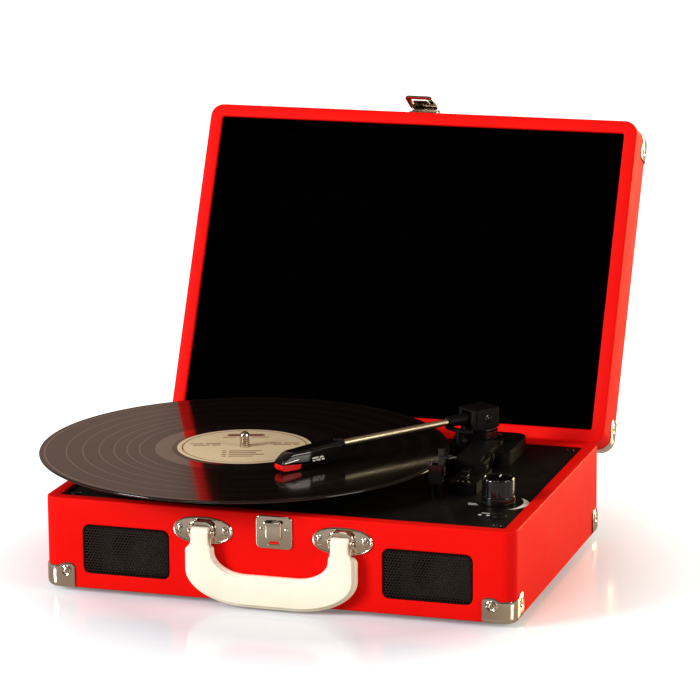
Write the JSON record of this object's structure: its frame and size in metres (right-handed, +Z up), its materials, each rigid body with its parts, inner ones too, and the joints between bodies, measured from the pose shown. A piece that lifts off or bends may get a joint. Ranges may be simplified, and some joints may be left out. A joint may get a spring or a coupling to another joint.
{
  "type": "turntable record player",
  "caption": "Red suitcase record player with an open lid, belt-driven platter, record, straight tonearm, front speakers and an ivory carrying handle.",
  "frame": {"origin": "centre of the bottom panel's underside, 4 mm above the floor that the feet stand on", "axes": "+Z up, -Y to the front with the handle, +X to the side with the volume knob"},
  "size_m": [0.3879, 0.4438, 0.3105],
  "materials": {
    "red_leatherette": "satin red leatherette wrapped over board",
    "black_plastic": "fine moulded texture",
    "gloss_black": "polished",
    "black_lining": "matt black lining",
    "ivory_plastic": "smooth ivory",
    "chrome": "polished chrome",
    "steel": "zinc plated",
    "brass": "turned brass",
    "champagne_tube": "champagne anodised",
    "rubber": "matt rubber",
    "vinyl": "grooved gloss vinyl",
    "felt": "black felt",
    "circuit": "green laminate",
    "speaker_cone": "pressed paper cone",
    "red_guard": "translucent red"
  },
  "bodies": {
    "base": {"base_shell": "red_leatherette", "bottom_panel": "black_plastic", "deck_plate": "black_plastic", "latch_catch": "chrome", "spindle_bearing": "brass", "drive_motor": "steel", "drive_belt": "rubber", "circuit_board": "circuit", "tonearm_base": "black_plastic", "arm_rest": "gloss_black", "headphone_jack": "black_plastic", "socket_panel": "black_plastic", "power_inlet": "black_plastic", "line_outputs": "brass", "grille_left": "black_plastic", "speaker_left": "speaker_cone", "hinge_leaf_base_left": "steel", "hinge_pin_left": "steel", "handle_mount_left": "chrome", "grille_right": "black_plastic", "speaker_right": "speaker_cone", "hinge_leaf_base_right": "steel", "hinge_pin_right": "steel", "handle_mount_right": "chrome", "foot_front_left": "rubber", "base_corner_front_left": "chrome", "foot_front_right": "rubber", "base_corner_front_right": "chrome", "foot_rear_left": "rubber", "base_corner_rear_left": "chrome", "foot_rear_right": "rubber", "base_corner_rear_right": "chrome"},
    "lid": {"lid_shell": "red_leatherette", "lid_liner": "black_lining", "latch_plate": "chrome", "hinge_leaf_lid_left": "steel", "hinge_leaf_lid_right": "steel", "lid_corner_front_left": "chrome", "lid_corner_front_right": "chrome", "lid_corner_rear_left": "chrome", "lid_corner_rear_right": "chrome"},
    "hasp": {"latch_hasp": "chrome"},
    "handle": {"handle_grip": "ivory_plastic"},
    "turntable": {"platter": "black_plastic", "slip_mat": "felt", "spindle": "chrome", "record": "vinyl"},
    "pulley": {"motor_pulley": "brass"},
    "arm_swivel": {"arm_turret": "black_plastic", "arm_housing": "black_plastic"},
    "arm": {"arm_sleeve": "black_plastic", "arm_tube": "champagne_tube", "headshell": "black_plastic", "cartridge": "red_guard"},
    "cue": {"cue_lever": "black_plastic"},
    "lift": {"lift_post": "black_plastic"},
    "knob": {"volume_knob": "gloss_black"},
    "speed": {"speed_slider": "gloss_black"},
    "stop": {"stop_slider": "gloss_black"},
    "lock": {"rest_lock": "gloss_black"}
  },
  "joints": [
    {"name": "lid_hinge", "type": "hinge", "parent": "base", "child": "lid", "pos_m": [0, 0.131, 0.0615], "axis": [1, 0, 0], "range_deg": [0, 36]},
    {"name": "hasp_hinge", "type": "hinge", "parent": "lid", "child": "hasp", "pos_m": [0, 0.26067, 0.28934], "axis": [-1, 0, 0], "range_deg": [-5, 86]},
    {"name": "handle_hinge", "type": "hinge", "parent": "base", "child": "handle", "pos_m": [-0.0014, -0.1322, 0.0504], "axis": [-1, 0, 0], "range_deg": [0, 95]},
    {"name": "platter_spin", "type": "hinge", "parent": "base", "child": "turntable", "pos_m": [-0.062, -0.009, 0.07], "axis": [0, 0, -1], "continuous": true},
    {"name": "pulley_spin", "type": "hinge", "parent": "base", "child": "pulley", "pos_m": [0.01127, 0.01775, 0.069], "axis": [0, 0, -1], "continuous": true},
    {"name": "arm_swing", "type": "hinge", "parent": "base", "child": "arm_swivel", "pos_m": [0.093, 0.078, 0.08], "axis": [0, 0, 1], "range_deg": [-8, 34.5]},
    {"name": "arm_lift", "type": "hinge", "parent": "arm_swivel", "child": "arm", "pos_m": [0.093, 0.078, 0.0935], "axis": [-0.8141, 0.5807, 0], "range_deg": [0, 7]},
    {"name": "cue_turn", "type": "hinge", "parent": "base", "child": "cue", "pos_m": [0.1138, 0.032, 0.0755], "axis": [-1, 0, 0], "range_deg": [0, 60]},
    {"name": "lift_rise", "type": "slide", "parent": "base", "child": "lift", "axis": [0, 0, 1], "range_m": [0, 0.003]},
    {"name": "volume_turn", "type": "hinge", "parent": "base", "child": "knob", "pos_m": [0.1415, -0.048, 0.07], "axis": [0, 0, -1], "range_deg": [-60, 240]},
    {"name": "speed_slide", "type": "slide", "parent": "base", "child": "speed", "axis": [1, 0, 0], "range_m": [-0.004, 0.004]},
    {"name": "stop_slide", "type": "slide", "parent": "base", "child": "stop", "axis": [1, 0, 0], "range_m": [0, 0.006]},
    {"name": "lock_turn", "type": "hinge", "parent": "base", "child": "lock", "pos_m": [0.0987, -0.044, 0.094], "axis": [0, -1, 0], "range_deg": [0, 140]}
  ],
  "couplings": [
    {"joint": "pulley_spin", "follows": "platter_spin", "ratio": 10.333},
    {"joint": "cue_turn", "follows": "arm_lift", "ratio": 8.5714},
    {"joint": "lift_rise", "follows": "arm_lift", "m_per_rad": 0.024555}
  ]
}
